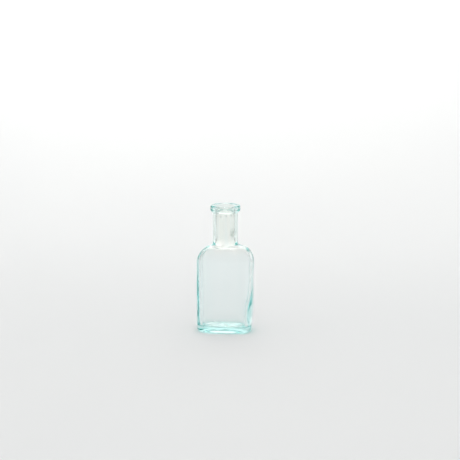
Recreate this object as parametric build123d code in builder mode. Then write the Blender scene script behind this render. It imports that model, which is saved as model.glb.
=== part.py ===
from build123d import *
import os
from math import cos, radians, sin

# A small mould-blown bottle in aqua glass with rounded corners, upright and open at the mouth.
# All sizes are in millimetres. +Z is up, +X runs along the broad face and the faces look along Y.
# The origin is the centre of the foot, on the plane that the bottle stands on.

# Overall sizes
overall_height = 80.0
body_width = 35.2
body_depth = 22.0
squareness = 4.4  # power of the wall's outline: 2 is an ellipse, and more is squarer
foot_squareness = 3.2  # the same at the foot, where the corners are rounder

# Wall and shoulder
wall_height = 44.5  # top of the upright wall, where the shoulder starts to turn in
shoulder_height = 10.8  # from there to where the shoulder's curve would lie level
shoulder_reach = 3.4  # how far inside the neck that point is

# Neck and mouth
neck_diameter = 15.6
bore_diameter = 10.8  # the straight hole that takes the cork
neck_root_radius = 1.0
mouth_flare = 0.7  # how far the bore opens out at the mouth, and over what depth

# The ring of glass laid round the sheared end of the neck
lip_overhang = 1.6  # how far the ring stands out from the neck
lip_height = 4.4
lip_edge_height = 1.9  # the upright edge of the ring
lip_crown_radius = 0.9  # rounds that edge over to the top of the rim
rim_thickness = 1.6  # glass of the ring above the sheared end of the neck
rim_dip = 0.5  # how far the rim falls from its crown to the mouth

# Glass thickness
wall_thickness = 1.6  # of the broad faces
end_thickness = 1.9  # of the narrow ends
floor_thickness = 3.5
shoulder_thickness = 1.9
cavity_shift = 0.2  # the gather was off centre, so the -X wall is the thicker one
cavity_floor_radius = 2.2
end_swell = 1.4  # extra glass inside the +X end, low down
swell_height = 12.0  # where that swelling is thickest
swell_reach = 14.0  # and how far above and below it goes

# Foot
heel_radius = 1.2
heel_draw_in = 1.5  # how much further in the +X wall stands at the foot than at mid height
draw_in_height = 20.0  # where that wall is upright again
foot_easing_height = 9.0  # where the corners are as square as the rest of the wall
foot_band = 1.6  # width of the flat ring that the bottle stands on
hollow_height = 1.4  # how far the foot is pushed up inside that ring
hollow_share = 0.65  # size of the hollow's level top, as a share of its mouth

# How finely the outlines and the lofts are drawn
outline_points = 40
wall_steps = 5
shoulder_steps = 6
shoulder_end = 82.0  # angle at which the shoulder's loft stops, well inside the neck

# Heights and radii that follow from the sizes above
upright_height = swell_height + swell_reach
lip_base = overall_height - lip_height
lip_edge_top = overall_height - lip_crown_radius
neck_end = overall_height - rim_thickness
neck_radius = neck_diameter / 2
bore_radius = bore_diameter / 2
lip_radius = neck_radius + lip_overhang
hollow_width = body_width - heel_draw_in - 2 * (heel_radius + foot_band)
hollow_depth = body_depth - 2 * (heel_radius + foot_band)


def outline(width, depth, height, shift=0.0, power=squareness):
    """One level of the body: a smooth closed curve between an ellipse and a rectangle."""
    points = []
    for step in range(outline_points):
        c = -cos(radians(360 * step / outline_points))
        s = -sin(radians(360 * step / outline_points))
        reach = (abs(c) ** power + abs(s) ** power) ** (-1 / power)
        points.append((width / 2 * reach * c, depth / 2 * reach * s))
    with BuildSketch(Plane((shift, 0, height))) as level:
        with BuildLine():
            Spline(*points, periodic=True)
        make_face()
    return level.sketch


def hump(height, centre, reach):
    """A smooth hump, 1 at its centre and gone beyond its reach."""
    return max(0.0, 1 - ((height - centre) / reach) ** 2) ** 2


def wall_level(end, face, height, shift=0.0, swell=0.0):
    """The wall at one height, inset at its ends and faces, and drawn in at +X near the foot."""
    drawn_in = heel_draw_in * max(0.0, 1 - height / draw_in_height) ** 2
    drawn_in += swell * hump(height, swell_height, swell_reach)
    easing = hump(height, 0, foot_easing_height)
    power = squareness + (foot_squareness - squareness) * easing
    width = body_width - 2 * end - drawn_in
    return outline(width, body_depth - 2 * face, height, shift - drawn_in / 2, power)


def wall_levels(end, face, bottom, shift=0.0, swell=0.0):
    """Levels of the wall, from bottom up to where it is upright."""
    rise = upright_height - bottom
    heights = [bottom + rise * step / wall_steps for step in range(wall_steps + 1)]
    return [wall_level(end, face, height, shift, swell) for height in heights]


def shoulder_levels(end, face, neck, rise, shift=0.0):
    """Levels of the shoulder, round part of an ellipse, until they are inside the neck's radius."""
    top = neck - shoulder_reach
    half_width = body_width / 2 - end
    half_depth = body_depth / 2 - face
    levels = []
    for step in range(shoulder_steps + 1):
        angle = radians(shoulder_end * step / shoulder_steps)
        width = 2 * (top + (half_width - top) * cos(angle))
        depth = 2 * (top + (half_depth - top) * cos(angle))
        power = 2 + (squareness - 2) * cos(angle)
        height = wall_height + rise * sin(angle)
        levels.append(outline(width, depth, height, shift * cos(angle), power))
    return levels


# The blown body: foot, wall, shoulder and neck, all of the first gather of glass.
with BuildPart() as blown_body:
    outer_wall = wall_levels(0, 0, 0)
    loft(sections=outer_wall)
    extrude(outer_wall[-1], amount=wall_height - upright_height)
    loft(sections=shoulder_levels(0, 0, neck_radius, shoulder_height))
    with BuildSketch(Plane.XY.offset(wall_height)):
        Circle(neck_radius)
    extrude(amount=neck_end - wall_height)
    neck_wall = blown_body.faces().filter_by(GeomType.CYLINDER).sort_by(Axis.Z)[-1]
    fillet(neck_wall.edges().filter_by(GeomType.BSPLINE), neck_root_radius)
    fillet(blown_body.faces().sort_by(Axis.Z)[0].edges(), heel_radius)
    # The cavity, with its floor rounded into the wall, and the bore
    inner_wall = wall_levels(
        end_thickness, wall_thickness, floor_thickness, cavity_shift, end_swell
    )
    loft(sections=inner_wall, mode=Mode.SUBTRACT)
    extrude(inner_wall[-1], amount=wall_height - upright_height, mode=Mode.SUBTRACT)
    cavity_floor = blown_body.faces().filter_by(Plane.XY).sort_by(Axis.Z)[1]
    fillet(cavity_floor.edges(), cavity_floor_radius)
    cavity_rise = shoulder_height - shoulder_thickness
    inner_shoulder = shoulder_levels(
        end_thickness, wall_thickness, bore_radius, cavity_rise, cavity_shift
    )
    loft(sections=inner_shoulder, mode=Mode.SUBTRACT)
    with BuildSketch(Plane.XY.offset(wall_height)):
        Circle(bore_radius)
    extrude(amount=neck_end - wall_height, mode=Mode.SUBTRACT)
    # The hollow in the foot
    hollow_mouth = outline(hollow_width, hollow_depth, 0, -heel_draw_in / 2, foot_squareness)
    top_width, top_depth = hollow_width * hollow_share, hollow_depth * hollow_share
    hollow_top = outline(top_width, top_depth, hollow_height, -heel_draw_in / 2, foot_squareness)
    loft(sections=[hollow_mouth, hollow_top], mode=Mode.SUBTRACT)
blown_body.part.label = "blown_body"

# The lip ring: a separate gather, laid over the sheared end of the neck and down its outside.
with BuildPart() as lip_ring:
    with BuildSketch(Plane.XZ):
        with BuildLine():
            neck_side = (neck_radius, lip_base)
            edge_foot = (lip_radius, lip_edge_top - lip_edge_height)
            edge_head = (lip_radius, lip_edge_top)
            crown = (lip_radius - lip_crown_radius, overall_height)
            mouth_head = (bore_radius + mouth_flare, overall_height - rim_dip)
            mouth_foot = (bore_radius, overall_height - rim_dip - mouth_flare)
            Spline(neck_side, edge_foot, tangents=[(3, 1), (0, 1)])
            Line(edge_foot, edge_head)
            RadiusArc(edge_head, crown, -lip_crown_radius)
            Spline(crown, mouth_head, tangents=[(-1, 0), (-1, 0)])
            RadiusArc(mouth_head, mouth_foot, -mouth_flare)
            Polyline(mouth_foot, (bore_radius, neck_end), (neck_radius, neck_end), neck_side)
        make_face()
    revolve(axis=Axis.Z)
lip_ring.part.label = "lip_ring"

# Export every piece in its place on the bottle
os.makedirs("parts", exist_ok=True)
export_step(blown_body.part, "parts/blown_body.step")
export_step(lip_ring.part, "parts/lip_ring.step")
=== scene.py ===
"""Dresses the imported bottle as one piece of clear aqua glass, from its foot to its lip."""

import logging
import math
from dataclasses import dataclass, replace
from enum import Enum

import bpy
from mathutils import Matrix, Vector

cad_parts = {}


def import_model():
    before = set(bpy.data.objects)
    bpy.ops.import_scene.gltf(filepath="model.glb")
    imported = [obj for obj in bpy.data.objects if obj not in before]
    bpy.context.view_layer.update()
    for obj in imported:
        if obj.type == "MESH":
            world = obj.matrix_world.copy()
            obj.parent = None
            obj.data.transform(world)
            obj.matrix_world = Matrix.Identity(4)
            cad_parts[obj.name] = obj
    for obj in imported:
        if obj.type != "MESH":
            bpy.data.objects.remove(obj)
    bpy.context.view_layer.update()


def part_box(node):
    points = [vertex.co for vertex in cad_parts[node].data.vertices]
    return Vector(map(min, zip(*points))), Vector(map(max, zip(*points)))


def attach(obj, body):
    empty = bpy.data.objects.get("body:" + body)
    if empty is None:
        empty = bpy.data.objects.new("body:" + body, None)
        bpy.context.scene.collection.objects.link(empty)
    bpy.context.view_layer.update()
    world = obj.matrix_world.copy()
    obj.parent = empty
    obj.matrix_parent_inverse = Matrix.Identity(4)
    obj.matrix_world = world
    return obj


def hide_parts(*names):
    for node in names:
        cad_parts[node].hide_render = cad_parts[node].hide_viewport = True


log = logging.getLogger("bottle")

MM = 0.001


class Node(Enum):
    """The CAD nodes that the glass stands in for."""

    BODY = "blown_body"
    LIP = "lip_ring"


class Piece(Enum):
    """The names of the finished pieces."""

    BOTTLE = "bottle_glass"
    FLOOR = "studio_sweep"


class Skin(Enum):
    """Which stretch of the glass's skin a ring belongs to."""

    FOOT = "foot"
    OUTSIDE = "outside"
    LIP = "lip"
    INSIDE = "inside"


@dataclass(frozen=True)
class Ring:
    """One level loop of the glass's skin.

    Attributes:
        half_width: Half of its size along X.
        half_depth: Half of its size along Y.
        height: Its place along Z.
        skin: The stretch of skin that it is on.
        shift: How far its centre is moved along X.
        power: How square it is: 2 is an ellipse, and more is squarer.
    """

    half_width: float
    half_depth: float
    height: float
    skin: Skin
    shift: float = 0.0
    power: float = 2.0


def spaced(start: float, end: float, steps: int) -> list[float]:
    """Even steps from start towards end, with both ends.

    Args:
        start: The first value.
        end: The last value.
        steps: How many gaps to leave between them.

    Returns:
        The values, one more than steps.
    """
    return [start + (end - start) * step / steps for step in range(steps + 1)]


def smooth_max(first: float, second: float, blend: float) -> float:
    """The larger of two values, with the corner between them rounded over blend."""
    gap = max(blend - abs(first - second), 0.0) / blend
    return max(first, second) + gap * gap * blend / 4


def hump(value: float, centre: float, reach: float) -> float:
    """A smooth hump of height 1 at centre that has gone beyond reach."""
    away = min(1.0, abs(value - centre) / reach)
    return (1 - away * away) ** 2


def deselect_all() -> None:
    """Leaves nothing selected, so that the next operator acts only on what it makes."""
    if bpy.context.object is not None and bpy.context.object.mode != "OBJECT":
        bpy.ops.object.mode_set(mode="OBJECT")
    bpy.ops.object.select_all(action="DESELECT")


class RingMesh:
    """Draws a piece ring by ring, each ring extruded from the one before."""

    def __init__(self, name: str, sides: int) -> None:
        """Keeps the piece's name and how many corners each ring has."""
        self.name = name
        self.sides = sides

    def draw(self, rings: list[Ring]) -> bpy.types.Object:
        """Draws the rings into a tube and closes its two ends.

        Args:
            rings: The loops, in the order that the skin runs through them.

        Returns:
            The new object, at the origin, closed, with a vertex group for each skin.
        """
        deselect_all()
        bpy.ops.mesh.primitive_circle_add(vertices=self.sides, radius=1.0, location=(0, 0, 0))
        piece = bpy.context.object
        piece.name = piece.data.name = self.name
        bpy.ops.object.mode_set(mode="EDIT")
        first = rings[0]
        bpy.ops.transform.resize(value=(first.half_width, first.half_depth, 1.0))
        bpy.ops.transform.translate(value=(first.shift, 0.0, first.height))
        for before, ring in zip(rings, rings[1:]):
            self._extrude(before, ring)
        bpy.ops.object.mode_set(mode="OBJECT")
        self._square_off(piece, rings)
        for end in (rings[0], rings[-1]):
            self._close(piece, end)
        self._group(piece, rings)
        bpy.ops.object.mode_set(mode="EDIT")
        bpy.ops.mesh.select_mode(type="VERT")
        bpy.ops.mesh.select_all(action="SELECT")
        bpy.ops.mesh.normals_make_consistent(inside=False)
        bpy.ops.object.mode_set(mode="OBJECT")
        return piece

    @staticmethod
    def _extrude(before: Ring, ring: Ring) -> None:
        """Extrudes the selected ring to the place and size of the next one."""
        move = (ring.shift - before.shift, 0.0, ring.height - before.height)
        bpy.ops.mesh.extrude_edges_move(TRANSFORM_OT_translate={"value": move})
        factors = (ring.half_width / before.half_width, ring.half_depth / before.half_depth, 1.0)
        centre = (ring.shift, 0.0, ring.height)
        bpy.ops.transform.resize(value=factors, center_override=centre)

    def _square_off(self, piece: bpy.types.Object, rings: list[Ring]) -> None:
        """Pushes each ring's four corners out as far as its power says."""
        for vertex in piece.data.vertices:
            ring = rings[vertex.index // self.sides]
            across = abs(vertex.co.x - ring.shift) / ring.half_width
            along = abs(vertex.co.y) / ring.half_depth
            reach = (across**ring.power + along**ring.power) ** (-1 / ring.power)
            vertex.co.x = ring.shift + (vertex.co.x - ring.shift) * reach
            vertex.co.y *= reach

    def _close(self, piece: bpy.types.Object, end: Ring) -> None:
        """Fills an open end with a grid of quads, so that no pole shows in the glass."""
        bpy.ops.object.mode_set(mode="EDIT")
        bpy.ops.mesh.select_mode(type="EDGE")
        bpy.ops.mesh.select_all(action="DESELECT")
        bpy.ops.object.mode_set(mode="OBJECT")
        points = piece.data.vertices
        for edge in piece.data.edges:
            ends = [points[index].co for index in edge.vertices]
            level = all(abs(point.z - end.height) < 0.001 * MM for point in ends)
            within = all(abs(point.x - end.shift) < end.half_width + 0.001 * MM for point in ends)
            deep = all(abs(point.y) < end.half_depth + 0.001 * MM for point in ends)
            edge.select = level and within and deep
        bpy.ops.object.mode_set(mode="EDIT")
        bpy.ops.mesh.fill_grid(span=self.sides // 8 + self.sides // 16)
        bpy.ops.object.mode_set(mode="OBJECT")

    def _group(self, piece: bpy.types.Object, rings: list[Ring]) -> None:
        """Puts every vertex in the group of its skin, the filled ends with their last ring."""
        groups = {skin: piece.vertex_groups.new(name=skin.value) for skin in Skin}
        for index in range(len(piece.data.vertices)):
            if index < len(rings) * self.sides:
                skin = rings[index // self.sides].skin
            else:
                height = piece.data.vertices[index].co.z
                skin = min((rings[0], rings[-1]), key=lambda end: abs(end.height - height)).skin
            groups[skin].add([index], 1.0, "REPLACE")


def apply_modifier(piece: bpy.types.Object, modifier: bpy.types.Modifier) -> None:
    """Applies one modifier to its mesh."""
    bpy.context.view_layer.objects.active = piece
    bpy.ops.object.modifier_apply(modifier=modifier.name)


def subdivide(piece: bpy.types.Object, levels: int) -> None:
    """Rounds a piece with a subdivision surface."""
    rounding = piece.modifiers.new("rounding", "SUBSURF")
    rounding.levels = rounding.render_levels = levels
    apply_modifier(piece, rounding)


@dataclass(frozen=True)
class Ripple:
    """An unevenness that the glass set with.

    Attributes:
        name: What to call it.
        size: How far apart its swells are.
        depth: How deep they are from crest to trough.
        skin: The stretch of skin it is on.
    """

    name: str
    size: float
    depth: float
    skin: Skin

    def press_into(self, piece: bpy.types.Object) -> None:
        """Moves the piece's skin in and out by this ripple."""
        cloud = bpy.data.textures.new(self.name, "CLOUDS")
        cloud.noise_scale = self.size
        cloud.noise_depth = 1
        wave = piece.modifiers.new(self.name, "DISPLACE")
        wave.texture = cloud
        wave.texture_coords = "LOCAL"
        wave.strength = self.depth
        wave.mid_level = 0.5
        wave.vertex_group = self.skin.value
        apply_modifier(piece, wave)


@dataclass
class Bottle:
    """The body, neck and lip, fused into one piece of glass.

    Attributes:
        body: Lowest and highest corner of the blown body.
        lip: Lowest and highest corner of the lip ring.
        sides: How many corners a ring has before it is rounded.
        power: How square the wall's outline is.
        foot_power: The same at the foot, where its corners are rounder.
        foot_easing: Height at which the corners are as square as the rest of the wall.
        wall_height: Top of the upright wall.
        shoulder_height: From there to where the shoulder's curve would lie level.
        shoulder_reach: How far inside the neck that point is.
        shoulder_lean: How much fuller the +X shoulder is.
        lean_middle: Share of the way out from the neck at which it is fullest.
        lean_reach: How far from there the fullness goes.
        neck_radius: Outside of the neck.
        neck_waist: How much slimmer the neck is half way up.
        neck_root_blend: Rounding where the neck meets the shoulder.
        bore_radius: Inside of the neck.
        face_wall: Glass in the broad faces.
        end_wall: Glass in the narrow ends.
        thick_end: Extra glass inside the +X end, low down.
        swell_height: Height at which that is thickest.
        swell_reach: How far above and below it goes.
        thin_top: How much thinner the ends are at the top of the wall.
        floor: Glass under the cavity.
        cavity_shift: How far the cavity is off centre.
        cavity_corner: Rounding between the cavity's floor and its wall.
        heel_radius: Rounding of the foot's outer edge.
        heel_draw_in: How much further in the +X wall stands at the foot.
        draw_in_height: Where that wall is upright again.
        foot_band: Width of the ring that the bottle stands on.
        foot_band_flat: The part of that ring that lies quite level.
        hollow_height: How far the foot is pushed up inside the ring.
        crown_radius: Rounding of the lip's upper edge.
        edge_height: The lip's upright edge.
        rim_dip: Fall from the lip's crown to the mouth.
        flare: Rounding of the mouth.
        funnel: The inside of the shoulder, from the bore out: the share of the way to the wall,
            and how many millimetres it is above the wall's top.
        ripples: The unevenness of the glass.
    """

    body: tuple[Vector, Vector]
    lip: tuple[Vector, Vector]
    sides: int = 56
    power: float = 4.4
    foot_power: float = 3.2
    foot_easing: float = 9.0 * MM
    wall_height: float = 44.5 * MM
    shoulder_height: float = 10.8 * MM
    shoulder_reach: float = 3.4 * MM
    shoulder_lean: float = 1.0 * MM
    lean_middle: float = 0.55
    lean_reach: float = 0.4
    neck_radius: float = 7.8 * MM
    neck_waist: float = 0.12 * MM
    neck_root_blend: float = 1.2 * MM
    bore_radius: float = 5.4 * MM
    face_wall: float = 1.6 * MM
    end_wall: float = 2.1 * MM
    thick_end: float = 1.4 * MM
    swell_height: float = 12.0 * MM
    swell_reach: float = 14.0 * MM
    thin_top: float = 0.5 * MM
    floor: float = 3.5 * MM
    cavity_shift: float = 0.3 * MM
    cavity_corner: float = 1.2 * MM
    heel_radius: float = 1.2 * MM
    heel_draw_in: float = 1.5 * MM
    draw_in_height: float = 20.0 * MM
    foot_band: float = 1.6 * MM
    foot_band_flat: float = 0.5 * MM
    hollow_height: float = 1.6 * MM
    crown_radius: float = 0.9 * MM
    edge_height: float = 1.9 * MM
    rim_dip: float = 0.5 * MM
    flare: float = 0.7 * MM
    funnel: tuple[tuple[float, float], ...] = (
        (0.0, 15.0), (0.008, 13.8), (0.033, 12.5), (0.075, 11.35), (0.133, 10.45),
        (0.208, 9.75), (0.30, 9.2), (0.411, 8.8), (0.525, 8.26), (0.631, 7.6), (0.737, 6.66),
        (0.816, 5.74), (0.888, 4.58), (0.952, 3.07), (0.99, 1.54),
    )
    ripples: tuple[Ripple, ...] = (
        Ripple("slow_swell_inside", 12 * MM, 0.30 * MM, Skin.INSIDE),
        Ripple("quick_swell_inside", 5 * MM, 0.05 * MM, Skin.INSIDE),
        Ripple("slow_swell_outside", 18 * MM, 0.06 * MM, Skin.OUTSIDE),
        Ripple("tooling_swell", 6 * MM, 0.10 * MM, Skin.LIP),
        Ripple("mould_chill", 4 * MM, 0.14 * MM, Skin.FOOT),
    )

    def wall_ring(self, height: float, skin: Skin) -> Ring:
        """The upright wall's ring at one height, on its outside or its inside."""
        half_width = (self.body[1].x - self.body[0].x) / 2
        half_depth = (self.body[1].y - self.body[0].y) / 2
        drawn_in = self.heel_draw_in * max(0.0, 1 - height / self.draw_in_height) ** 2 / 2
        near_foot = hump(height, 0.0, self.foot_easing)
        power = self.power + (self.foot_power - self.power) * near_foot
        if skin is not Skin.INSIDE:
            return Ring(half_width - drawn_in, half_depth, height, skin, -drawn_in, power)
        swell = self.thick_end * hump(height, self.swell_height, self.swell_reach) / 2
        end_wall = self.end_wall - self.thin_top * (height / self.wall_height) ** 2
        return Ring(
            half_width - end_wall - drawn_in - swell,
            half_depth - self.face_wall,
            height,
            skin,
            self.cavity_shift - drawn_in - swell,
            power,
        )

    def foot_rings(self) -> list[Ring]:
        """The hollow of the foot, the ring it stands on and the rounded heel."""
        base = self.wall_ring(0.0, Skin.FOOT)
        rings = []
        inset = self.heel_radius + self.foot_band
        for share, lift in ((0.45, 1.0), (0.65, 0.92), (0.85, 0.4), (1.0, 0.0)):
            width, depth = (base.half_width - inset) * share, (base.half_depth - inset) * share
            height = lift * self.hollow_height
            rings.append(replace(base, half_width=width, half_depth=depth, height=height))
        inset -= self.foot_band_flat
        rings.append(
            replace(base, half_width=base.half_width - inset, half_depth=base.half_depth - inset)
        )
        for angle in spaced(0.0, math.pi / 2, 4):
            height = self.heel_radius * (1 - math.cos(angle))
            back = self.heel_radius * (1 - math.sin(angle))
            level = self.wall_ring(height, Skin.FOOT)
            rings.append(
                replace(
                    level, half_width=level.half_width - back, half_depth=level.half_depth - back
                )
            )
        return rings

    def _lean(self, share: float) -> float:
        """How far a shoulder ring is widened and moved to +X, share of the way out."""
        return self.shoulder_lean * hump(share, self.lean_middle, self.lean_reach) / 2

    def shoulder_rings(self) -> list[Ring]:
        """The outside of the shoulder, from the top of the wall to the foot of the neck."""
        wall = self.wall_ring(self.wall_height, Skin.OUTSIDE)
        top = self.neck_radius - self.shoulder_reach
        rings = []
        for angle in spaced(0.0, math.pi / 2, 12)[1:]:
            fall, rise = math.cos(angle), math.sin(angle)
            sizes = [
                smooth_max(top + (half - top) * fall, self.neck_radius, self.neck_root_blend)
                for half in (wall.half_width, wall.half_depth)
            ]
            share = (sizes[0] - self.neck_radius) / (wall.half_width - self.neck_radius)
            lean = self._lean(share)
            height = self.wall_height + self.shoulder_height * rise
            power = 2 + (self.power - 2) * share
            rings.append(Ring(sizes[0] + lean, sizes[1], height, wall.skin, lean, power))
        return rings

    def neck_rings(self) -> list[Ring]:
        """The outside of the neck, a little slimmer half way up."""
        foot = self.wall_height + self.shoulder_height
        rings = []
        for height in spaced(foot, self.lip[0].z, 7)[1:-1]:
            middle = (foot + self.lip[0].z) / 2
            radius = self.neck_radius - self.neck_waist * hump(height, middle, middle - foot)
            rings.append(Ring(radius, radius, height, Skin.OUTSIDE))
        return rings

    def lip_rings(self) -> list[Ring]:
        """The lip: from its weld on the neck, round its edge and rim to the mouth."""
        outer = (self.lip[1].x - self.lip[0].x) / 2
        top, bottom = self.lip[1].z, self.lip[0].z
        edge_top = top - self.crown_radius
        edge_foot = edge_top - self.edge_height
        section = [
            (self.neck_radius, bottom - 0.25 * MM),
            (self.neck_radius + 0.05 * MM, bottom),
            (self.neck_radius + 0.35 * MM, bottom + 0.12 * MM),
        ]
        for turn in (0.35, 0.6, 0.85):
            out = math.sin(turn * math.pi / 2)
            radius = self.neck_radius + (outer - self.neck_radius) * out
            up = 0.12 + 0.88 * (1 - math.cos(turn * math.pi / 2))
            section.append((radius, bottom + (edge_foot - bottom) * up))
        section += [(outer, edge_foot), (outer, (edge_foot + edge_top) / 2)]
        for angle in spaced(0.0, math.pi / 2, 4):
            radius = outer - self.crown_radius * (1 - math.cos(angle))
            section.append((radius, edge_top + self.crown_radius * math.sin(angle)))
        crown = outer - self.crown_radius
        mouth = self.bore_radius + self.flare
        for share in (0.35, 0.7, 1.0):
            eased = share * share * (3 - 2 * share)
            section.append((crown + (mouth - crown) * share, top - self.rim_dip * eased))
        for angle in spaced(0.0, math.pi / 2, 3)[1:]:
            height = top - self.rim_dip - self.flare * (1 - math.cos(angle))
            section.append((mouth - self.flare * math.sin(angle), height))
        return [Ring(radius, radius, height, Skin.LIP) for radius, height in section]

    def inside_rings(self) -> list[Ring]:
        """The bore, the funnel below it, the inner wall and the edge of the cavity's floor."""
        wall = self.wall_ring(self.wall_height, Skin.INSIDE)
        mouth = self.lip[1].z - self.rim_dip - self.flare
        rings = [
            Ring(self.bore_radius, self.bore_radius, height, Skin.INSIDE)
            for height in spaced(mouth, self.wall_height + self.funnel[0][1] * MM, 7)[1:-1]
        ]
        for share, rise in self.funnel:
            width = self.bore_radius + (wall.half_width - self.bore_radius) * share
            depth = self.bore_radius + (wall.half_depth - self.bore_radius) * share
            height = self.wall_height + rise * MM
            power = 2 + (self.power - 2) * share
            lean = self._lean(share)
            shift = wall.shift * share + lean
            rings.append(Ring(width + lean, depth, height, Skin.INSIDE, shift, power))
        corner = self.floor + self.cavity_corner
        rings += [
            self.wall_ring(height, Skin.INSIDE) for height in spaced(self.wall_height, corner, 11)
        ]
        for angle in spaced(0.0, math.pi / 2, 4)[1:]:
            back = self.cavity_corner * (1 - math.cos(angle))
            height = corner - self.cavity_corner * math.sin(angle)
            edge = self.wall_ring(height, Skin.INSIDE)
            width, depth = edge.half_width - back, edge.half_depth - back
            rings.append(replace(edge, half_width=width, half_depth=depth))
        edge = rings[-1]
        for share in (0.8, 0.6):
            width, depth = edge.half_width * share, edge.half_depth * share
            rings.append(replace(edge, half_width=width, half_depth=depth))
        return rings

    def build(self) -> bpy.types.Object:
        """Draws, rounds and ripples the glass."""
        heights = spaced(self.heel_radius, self.wall_height, 13)[1:]
        rings = self.foot_rings()
        rings += [self.wall_ring(height, Skin.OUTSIDE) for height in heights]
        rings += self.shoulder_rings() + self.neck_rings() + self.lip_rings()
        rings += self.inside_rings()
        bottle = RingMesh(Piece.BOTTLE.value, self.sides).draw(rings)
        subdivide(bottle, 2)
        for ripple in self.ripples:
            ripple.press_into(bottle)
        bpy.ops.object.shade_smooth()
        return bottle


class Wiring:
    """Adds and joins the nodes of one node tree."""

    def __init__(self, tree: bpy.types.NodeTree) -> None:
        """Keeps the tree."""
        self.tree = tree

    def add(self, kind: str, sockets: dict[str | int, object], **settings: str) -> bpy.types.Node:
        """Adds one node.

        Args:
            kind: The node's type.
            sockets: What goes into its inputs: another node's output, or a plain value.
            settings: The node's own options.

        Returns:
            The new node.
        """
        node = self.tree.nodes.new(kind)
        for option, choice in settings.items():
            setattr(node, option, choice)
        for name, value in sockets.items():
            self.feed(node, name, value)
        return node

    def feed(self, node: bpy.types.Node, name: str | int, value: object) -> None:
        """Puts a plain value or another node's output into one input."""
        if isinstance(value, bpy.types.NodeSocket):
            self.tree.links.new(value, node.inputs[name])
        else:
            node.inputs[name].default_value = value


class Mottle:
    """The node group for patches that come and go over a surface."""

    NAME = "mottle"

    def __init__(self) -> None:
        """Makes the group."""
        self.tree = bpy.data.node_groups.new(self.NAME, "ShaderNodeTree")
        face = self.tree.interface
        face.new_socket("Place", in_out="INPUT", socket_type="NodeSocketVector")
        face.new_socket("Stretch", in_out="INPUT", socket_type="NodeSocketVector")
        for bound in ("Low", "High"):
            face.new_socket(bound, in_out="INPUT", socket_type="NodeSocketFloat")
        face.new_socket("Mask", in_out="OUTPUT", socket_type="NodeSocketFloat")
        wiring = Wiring(self.tree)
        given = wiring.add("NodeGroupInput", {}).outputs
        stretched = wiring.add(
            "ShaderNodeVectorMath", {0: given["Place"], 1: given["Stretch"]}, operation="MULTIPLY"
        )
        noise = wiring.add(
            "ShaderNodeTexNoise", {"Vector": stretched.outputs[0], "Scale": 1.0, "Detail": 2.0}
        )
        mask = wiring.add(
            "ShaderNodeMapRange",
            {"Value": noise.outputs[0], "From Min": given["Low"], "From Max": given["High"]},
            interpolation_type="SMOOTHSTEP",
        )
        wiring.add("NodeGroupOutput", {"Mask": mask.outputs[0]})

    def mask(
        self,
        wiring: Wiring,
        place: bpy.types.NodeSocket,
        stretch: tuple[float, float, float],
        low: float,
        high: float,
    ) -> bpy.types.NodeSocket:
        """Places the group in a material.

        Args:
            wiring: The material's wiring.
            place: The coordinates to read.
            stretch: How many patches there are to a metre along each axis.
            low: The noise at which a patch starts.
            high: The noise at which it is full.

        Returns:
            The mask, from 0 to 1.
        """
        sockets = {"Place": place, "Stretch": stretch, "Low": low, "High": high}
        node = wiring.add("ShaderNodeGroup", {})
        node.node_tree = self.tree
        for name, value in sockets.items():
            wiring.feed(node, name, value)
        return node.outputs["Mask"]


@dataclass(frozen=True)
class Mark:
    """A small dark spot on the glass: a smudge, or painted shade laid over a bright reflection.

    Attributes:
        place: The middle of it.
        reach: How far it goes.
        depth: How much of the light it takes.
    """

    place: tuple[float, float, float]
    reach: float
    depth: float


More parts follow.
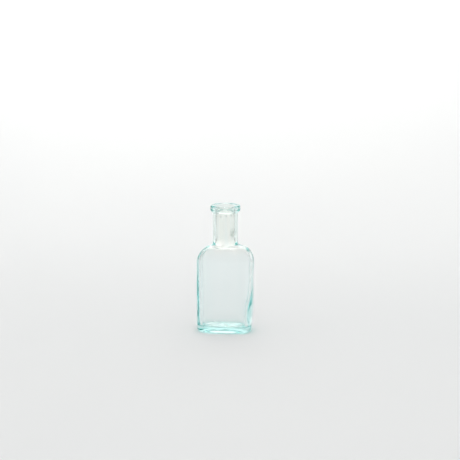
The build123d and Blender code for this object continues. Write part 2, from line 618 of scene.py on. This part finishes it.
@dataclass(frozen=True)
class AquaGlass:
    """Clear glass that takes red out of the light that crosses it.

    Attributes:
        name: The material's name.
        kept: The share of red, green and blue that the absorption leaves alone.
        strength: How fast the rest is taken, per metre.
        shade: The light that the glass lets into its own shadow.
        body_tint: What each crossing of the body's surface leaves.
        neck_tint: The same for the neck and lip, where the glass is faintly straw-coloured.
        cord_tint: The same inside a cord of denser glass.
        smudge_and_shade_tint: The same in the middle of a spot, whether smudge or painted shade.
        smudges_and_painted_shade: The dark spots on it: a smudge on the neck, a spot at the neck's
            root, and painted shade just under the lip's front.
        neck_zone: Heights between which the body's tint turns into the neck's.
        foot_haze: How dull the worn ring of the foot is, and up to what height.
        crest_haze: How dull the worn crest of the lip is, and from what height.
        ripple_depth: How deep the fine waves are.
        seed_depth: How deep the seeds' dimples are.
    """

    name: str = "aqua_glass"
    kept: tuple[float, float, float] = (0.10, 0.88, 0.86)
    strength: float = 24.5
    shade: tuple[float, float, float] = (0.90, 0.96, 0.95)
    body_tint: tuple[float, float, float] = (0.99, 0.99, 0.99)
    neck_tint: tuple[float, float, float] = (1.0, 0.972, 0.95)
    cord_tint: tuple[float, float, float] = (0.955, 0.975, 0.975)
    smudge_and_shade_tint: tuple[float, float, float] = (0.30, 0.36, 0.32)
    smudges_and_painted_shade: tuple[Mark, ...] = (
        Mark((5.9 * MM, -5.1 * MM, 64.0 * MM), 3.2 * MM, 0.8),
        Mark((5.2 * MM, -5.8 * MM, 62.0 * MM), 2.0 * MM, 0.95),
        Mark((-0.8 * MM, -8.2 * MM, 55.3 * MM), 1.1 * MM, 0.9),
        # Painted shade: these three darken the front of the neck just under the lip, over a bright
        # reflection of the wash lamp.
        Mark((1.6 * MM, -7.6 * MM, 74.4 * MM), 1.4 * MM, 0.6),
        Mark((-2.0 * MM, -7.5 * MM, 73.9 * MM), 1.2 * MM, 0.6),
        Mark((4.4 * MM, -6.4 * MM, 74.6 * MM), 1.3 * MM, 0.6),
    )
    neck_zone: tuple[float, float] = (44 * MM, 58 * MM)
    foot_haze: tuple[float, float] = (0.22, 0.45 * MM)
    crest_haze: tuple[float, float] = (0.10, 79.5 * MM)
    ripple_depth: float = 0.006 * MM
    seed_depth: float = 0.05 * MM

    def material(self, mottle: Mottle) -> bpy.types.Material:
        """Makes the material.

        Args:
            mottle: The node group for patches.

        Returns:
            The material.
        """
        made = bpy.data.materials.new(self.name)
        made.use_nodes = True
        wiring = Wiring(made.node_tree)
        shader = made.node_tree.nodes["Principled BSDF"]
        output = made.node_tree.nodes["Material Output"]
        place = wiring.add("ShaderNodeTexCoord", {}).outputs["Object"]
        wiring.feed(shader, "Base Color", self._colour(wiring, mottle, place))
        wiring.feed(shader, "Roughness", self._haze(wiring, mottle, place))
        wiring.feed(shader, "Normal", self._ripple(wiring, mottle, place))
        shader.inputs["IOR"].default_value = 1.5
        shader.inputs["Transmission Weight"].default_value = 1.0
        ray = wiring.add("ShaderNodeLightPath", {})
        clear = wiring.add("ShaderNodeBsdfTransparent", {"Color": (*self.shade, 1.0)})
        sockets = {0: ray.outputs["Is Shadow Ray"], 1: shader.outputs[0], 2: clear.outputs[0]}
        wiring.feed(output, "Surface", wiring.add("ShaderNodeMixShader", sockets).outputs[0])
        depth = wiring.add(
            "ShaderNodeVolumeAbsorption", {"Color": (*self.kept, 1.0), "Density": self.strength}
        )
        wiring.feed(output, "Volume", depth.outputs[0])
        return made

    def _mix(
        self,
        wiring: Wiring,
        factor: bpy.types.NodeSocket,
        first: object,
        second: tuple[float, float, float],
    ) -> bpy.types.NodeSocket:
        """Mixes two colours by a mask."""
        sockets = {"Factor": factor, "A": first, "B": (*second, 1.0)}
        return wiring.add("ShaderNodeMix", sockets, data_type="RGBA").outputs["Result"]

    def _colour(
        self, wiring: Wiring, mottle: Mottle, place: bpy.types.NodeSocket
    ) -> bpy.types.NodeSocket:
        """The tint at the surface: body, neck, upright cords, and the dark spots: smudges, and
        painted shade under the lip.
        """
        height = wiring.add("ShaderNodeSeparateXYZ", {"Vector": place}).outputs["Z"]
        zone = wiring.add(
            "ShaderNodeMapRange",
            {"Value": height, "From Min": self.neck_zone[0], "From Max": self.neck_zone[1]},
            interpolation_type="SMOOTHSTEP",
        )
        tint = self._mix(wiring, zone.outputs[0], (*self.body_tint, 1.0), self.neck_tint)
        cords = mottle.mask(wiring, place, (420.0, 420.0, 30.0), 0.52, 0.75)
        tint = self._mix(wiring, cords, tint, self.cord_tint)
        rough = mottle.mask(wiring, place, (1100.0, 1100.0, 700.0), 0.3, 0.55)
        # Each spot darkens the tint: a smudge, or painted shade under the lip's front.
        for mark in self.smudges_and_painted_shade:
            sockets = {0: place, 1: mark.place}
            away = wiring.add("ShaderNodeVectorMath", sockets, operation="DISTANCE")
            sockets = {"Value": away.outputs["Value"], "From Min": mark.reach, "From Max": 0.0}
            spot = wiring.add("ShaderNodeMapRange", {**sockets, "To Max": mark.depth})
            sockets = {0: spot.outputs[0], 1: rough}
            ragged = wiring.add("ShaderNodeMath", sockets, operation="MULTIPLY")
            tint = self._mix(wiring, ragged.outputs[0], tint, self.smudge_and_shade_tint)
        return tint

    def _haze(
        self, wiring: Wiring, mottle: Mottle, place: bpy.types.NodeSocket
    ) -> bpy.types.NodeSocket:
        """The dulling of the foot's ring and of the lip's crest, in patches."""
        height = wiring.add("ShaderNodeSeparateXYZ", {"Vector": place}).outputs["Z"]
        worn = mottle.mask(wiring, place, (900.0, 900.0, 900.0), 0.35, 0.65)
        foot = wiring.add(
            "ShaderNodeMapRange",
            {
                "Value": height, "From Min": self.foot_haze[1],
                "From Max": 0.0, "To Max": self.foot_haze[0],
            },
        )
        crest = wiring.add(
            "ShaderNodeMapRange",
            {
                "Value": height, "From Min": self.crest_haze[1],
                "From Max": 80 * MM, "To Max": self.crest_haze[0],
            },
        )
        both = wiring.add(
            "ShaderNodeMath", {0: foot.outputs[0], 1: crest.outputs[0]}, operation="ADD"
        )
        haze = wiring.add("ShaderNodeMath", {0: both.outputs[0], 1: worn}, operation="MULTIPLY")
        return haze.outputs[0]

    def _ripple(
        self, wiring: Wiring, mottle: Mottle, place: bpy.types.NodeSocket
    ) -> bpy.types.NodeSocket:
        """The fine upright waves that the mould left in the skin, and a few seeds."""
        waves = mottle.mask(wiring, place, (700.0, 700.0, 160.0), 0.2, 0.8)
        bump = wiring.add(
            "ShaderNodeBump", {"Height": waves, "Strength": 1.0, "Distance": self.ripple_depth}
        )
        seeds = wiring.add("ShaderNodeTexVoronoi", {"Vector": place, "Scale": 170.0})
        pit = wiring.add(
            "ShaderNodeMapRange",
            {"Value": seeds.outputs["Distance"], "From Min": 0.085, "From Max": 0.0},
            interpolation_type="SMOOTHSTEP",
        )
        sockets = {"Height": pit.outputs[0], "Strength": 1.0, "Distance": self.seed_depth}
        return wiring.add("ShaderNodeBump", {**sockets, "Normal": bump.outputs[0]}).outputs[0]


@dataclass(frozen=True)
class SoftBox:
    """One soft light.

    Attributes:
        name: What to call it.
        place: Where it hangs.
        target: What it is aimed at.
        size: Its width and height.
        power: How much light it gives, in watts.
        spread: How wide its grid lets the light go.
        colour: The colour of its light.
    """

    name: str
    place: tuple[float, float, float]
    target: tuple[float, float, float]
    size: tuple[float, float]
    power: float
    spread: float = math.pi
    colour: tuple[float, float, float] = (1.0, 1.0, 1.0)

    def hang(self) -> None:
        """Hangs it in the scene."""
        data = bpy.data.lights.new(self.name, "AREA")
        data.shape = "RECTANGLE"
        data.size, data.size_y = self.size
        data.energy = self.power
        data.spread = self.spread
        data.color = self.colour
        light = bpy.data.objects.new(self.name, data)
        bpy.context.scene.collection.objects.link(light)
        light.location = self.place
        aim = Vector(self.target) - Vector(self.place)
        light.rotation_euler = aim.to_track_quat("-Z", "Y").to_euler()


@dataclass
class Studio:
    """The pale sweep, the soft lights and the camera.

    Attributes:
        azimuth: How far round towards +X the camera stands.
        pitch: How far down it looks.
        distance: How far out it stands.
        camera_height: How high it stands.
        aside: How far it is turned off the bottle's axis.
        lens: Its focal length in millimetres.
        width: Width of the sweep.
        front: Its front edge.
        back: The backdrop's place.
        backdrop_height: How high it goes.
        curve_radius: Radius of the curve between floor and backdrop.
        paper_tint: The paper's colour.
        cloud_tint: The same in its lighter clouds.
        room_light: Strength of the room's own light.
        room_colour: Its colour.
        bounces: How many surfaces light may cross, enough for the bottle's many walls.
        lamps: The soft lights.
    """

    azimuth: float = math.radians(8.0)
    pitch: float = math.radians(10.25)
    distance: float = 1.0451
    camera_height: float = 0.2532
    aside: float = math.radians(0.158)
    lens: float = 132.9
    width: float = 4.0
    front: float = -2.2
    back: float = 0.75
    backdrop_height: float = 1.8
    curve_radius: float = 0.5
    paper_tint: tuple[float, float, float] = (0.795, 0.805, 0.805)
    cloud_tint: tuple[float, float, float] = (0.81, 0.818, 0.815)
    room_light: float = 0.66
    room_colour: tuple[float, float, float] = (1.0, 1.0, 1.0)
    bounces: int = 48
    lamps: tuple[SoftBox, ...] = (
        SoftBox("long_strip", (0.0, -0.3, 1.5), (0.0, -0.299, 0.0), (0.8, 2.1), 1.65, 0.3),
        SoftBox(
            "wash", (-0.2, -1.2, 1.3), (-0.2, 0.75, 0.5), (1.1, 0.6), 2.75, 0.6, (1.0, 0.985, 0.96)
        ),
    )

    def sweep(self) -> bpy.types.Object:
        """A floor that curves up into a backdrop."""
        deselect_all()
        bpy.ops.mesh.primitive_plane_add(size=1.0, location=(0, 0, 0))
        sweep = bpy.context.object
        sweep.name = sweep.data.name = Piece.FLOOR.value
        bpy.ops.object.mode_set(mode="EDIT")
        bpy.ops.transform.resize(value=(self.width, self.back - self.front, 1.0))
        bpy.ops.transform.translate(value=(0.0, (self.back + self.front) / 2, 0.0))
        self._select_back_edge(sweep)
        bpy.ops.mesh.extrude_edges_move(
            TRANSFORM_OT_translate={"value": (0.0, 0.0, self.backdrop_height)}
        )
        self._select_back_edge(sweep)
        bpy.ops.mesh.bevel(offset=self.curve_radius, segments=24, affect="EDGES")
        bpy.ops.mesh.select_all(action="SELECT")
        bpy.ops.mesh.normals_make_consistent(inside=False)
        bpy.ops.object.mode_set(mode="OBJECT")
        bpy.ops.object.shade_smooth()
        return sweep

    def _select_back_edge(self, sweep: bpy.types.Object) -> None:
        """Selects the floor's back edge and leaves the sweep in edit mode."""
        bpy.ops.mesh.select_mode(type="EDGE")
        bpy.ops.mesh.select_all(action="DESELECT")
        bpy.ops.object.mode_set(mode="OBJECT")
        for edge in sweep.data.edges:
            ends = [sweep.data.vertices[index].co for index in edge.vertices]
            edge.select = all(abs(end.y - self.back) < MM and end.z < MM for end in ends)
        bpy.ops.object.mode_set(mode="EDIT")

    def paper(self, mottle: Mottle) -> bpy.types.Material:
        """The sweep's matt paper, with its faint clouds and grain."""
        paper = bpy.data.materials.new("pale_paper")
        paper.use_nodes = True
        wiring = Wiring(paper.node_tree)
        shader = paper.node_tree.nodes["Principled BSDF"]
        place = wiring.add("ShaderNodeTexCoord", {}).outputs["Object"]
        clouds = mottle.mask(wiring, place, (3.0, 3.0, 3.0), 0.2, 0.8)
        sockets = {"Factor": clouds, "A": (*self.paper_tint, 1.0), "B": (*self.cloud_tint, 1.0)}
        colour = wiring.add("ShaderNodeMix", sockets, data_type="RGBA")
        wiring.feed(shader, "Base Color", colour.outputs["Result"])
        grain = mottle.mask(wiring, place, (1400.0, 1400.0, 1400.0), 0.2, 0.8)
        nap = wiring.add("ShaderNodeMapRange", {"Value": grain, "To Min": 0.85, "To Max": 0.95})
        wiring.feed(shader, "Roughness", nap.outputs[0])
        bump = wiring.add("ShaderNodeBump", {"Height": grain, "Distance": 0.02 * MM})
        wiring.feed(shader, "Normal", bump.outputs[0])
        return paper

    def light(self) -> None:
        """Hangs the lights and sets the room's own light."""
        room = bpy.data.worlds.new("dim_room")
        room.use_nodes = True
        room.node_tree.nodes["Background"].inputs["Color"].default_value = (*self.room_colour, 1)
        room.node_tree.nodes["Background"].inputs["Strength"].default_value = self.room_light
        bpy.context.scene.world = room
        for lamp in self.lamps:
            lamp.hang()
        cycles = bpy.context.scene.cycles
        cycles.max_bounces = cycles.transmission_bounces = cycles.glossy_bounces = self.bounces

    def camera(self) -> None:
        """Places the camera."""
        data = bpy.data.cameras.new("camera")
        data.lens = self.lens
        camera = bpy.data.objects.new("camera", data)
        bpy.context.scene.collection.objects.link(camera)
        camera.location = (
            self.distance * math.sin(self.azimuth),
            -self.distance * math.cos(self.azimuth),
            self.camera_height,
        )
        camera.rotation_euler = (math.pi / 2 - self.pitch, 0.0, self.azimuth - self.aside)
        bpy.context.scene.camera = camera

    def build(self, mottle: Mottle) -> None:
        """Sets up the sweep, the lights and the camera."""
        sweep = self.sweep()
        sweep.data.materials.append(self.paper(mottle))
        self.light()
        self.camera()


def main() -> None:
    """Builds the bottle, dresses it and lights the studio."""
    logging.basicConfig(level=logging.INFO, format="%(name)s: %(message)s")
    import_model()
    bpy.context.scene.view_settings.view_transform = "Standard"

    mottle = Mottle()
    glass = AquaGlass()
    bottle = Bottle(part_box(Node.BODY.value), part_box(Node.LIP.value)).build()
    bottle.data.materials.append(glass.material(mottle))
    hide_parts(Node.BODY.value, Node.LIP.value)
    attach(bottle, "root")
    log.info("%s: %d faces", bottle.name, len(bottle.data.polygons))

    Studio().build(mottle)


if __name__ == "__main__":
    main()
